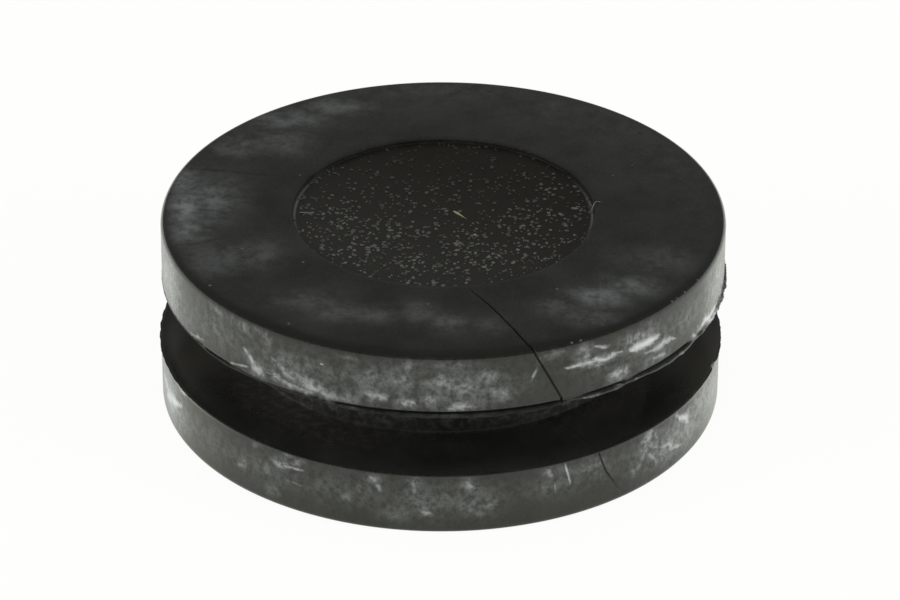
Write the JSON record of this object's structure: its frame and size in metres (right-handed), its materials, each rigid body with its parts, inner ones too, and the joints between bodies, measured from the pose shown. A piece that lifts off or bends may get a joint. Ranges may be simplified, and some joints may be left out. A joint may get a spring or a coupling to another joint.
{
  "type": "blind rubber grommet",
  "caption": "Blind rubber grommet: two round flanges with a panel groove between them and a membrane that closes the bore, to plug a round hole in sheet.",
  "frame": {"origin": "centre of the underside, on the face that it rests on", "axes": "+Z along the axis, from the open underside towards the face with the membrane"},
  "size_m": [0.028, 0.028, 0.01],
  "materials": {
    "rubber": "matte moulded, with chalky bloom and scuffs"
  },
  "bodies": {
    "root": {"grommet": "rubber"}
  },
  "joints": []
}
